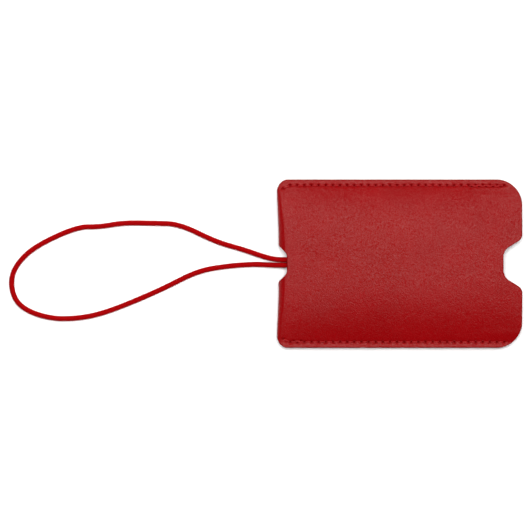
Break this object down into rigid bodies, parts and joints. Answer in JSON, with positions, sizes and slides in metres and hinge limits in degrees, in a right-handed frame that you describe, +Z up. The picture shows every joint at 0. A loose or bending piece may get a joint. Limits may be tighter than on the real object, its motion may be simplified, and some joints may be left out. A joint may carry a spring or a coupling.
{
  "type": "luggage tag",
  "caption": "Red leather luggage tag: a flat sewn sleeve folded at one end, with a thumb notch, a pull-out address holder inside and an elastic cord loop.",
  "frame": {"origin": "bottom centre of the sleeve, on the surface the tag lies on", "axes": "+X along the sleeve towards its open mouth, the cord loop at -X; +Y across the sleeve; +Z up"},
  "size_m": [0.2095, 0.0686, 0.0071],
  "materials": {
    "sleeve_leather": "fine-grained, satin",
    "sleeve_lining": "thin woven cloth",
    "thread": "twisted thread",
    "elastic": "braided, slight sheen",
    "insert_leather": "fine-grained, matt",
    "clear_film": "clear, glossy",
    "card": "uncoated card"
  },
  "bodies": {
    "sleeve": {"sleeve_outer": "sleeve_leather", "sleeve_lining": "sleeve_lining", "top_seam_needle_thread": "thread", "top_seam_bobbin_thread": "thread", "bottom_seam_needle_thread": "thread", "bottom_seam_bobbin_thread": "thread", "elastic_cord": "elastic"},
    "holder": {"insert_backing": "insert_leather", "insert_window": "clear_film", "insert_window_thread": "thread", "cord_patch": "insert_leather", "cord_patch_thread": "thread", "cord_sewn_ends": "elastic"},
    "card": {"address_card": "card"}
  },
  "joints": [
    {"name": "holder_pull", "type": "slide", "parent": "sleeve", "child": "holder", "axis": [1, 0, 0], "range_m": [0, 0.065]},
    {"name": "card_slide", "type": "slide", "parent": "holder", "child": "card", "axis": [1, 0, 0], "range_m": [0, 0.06]}
  ]
}
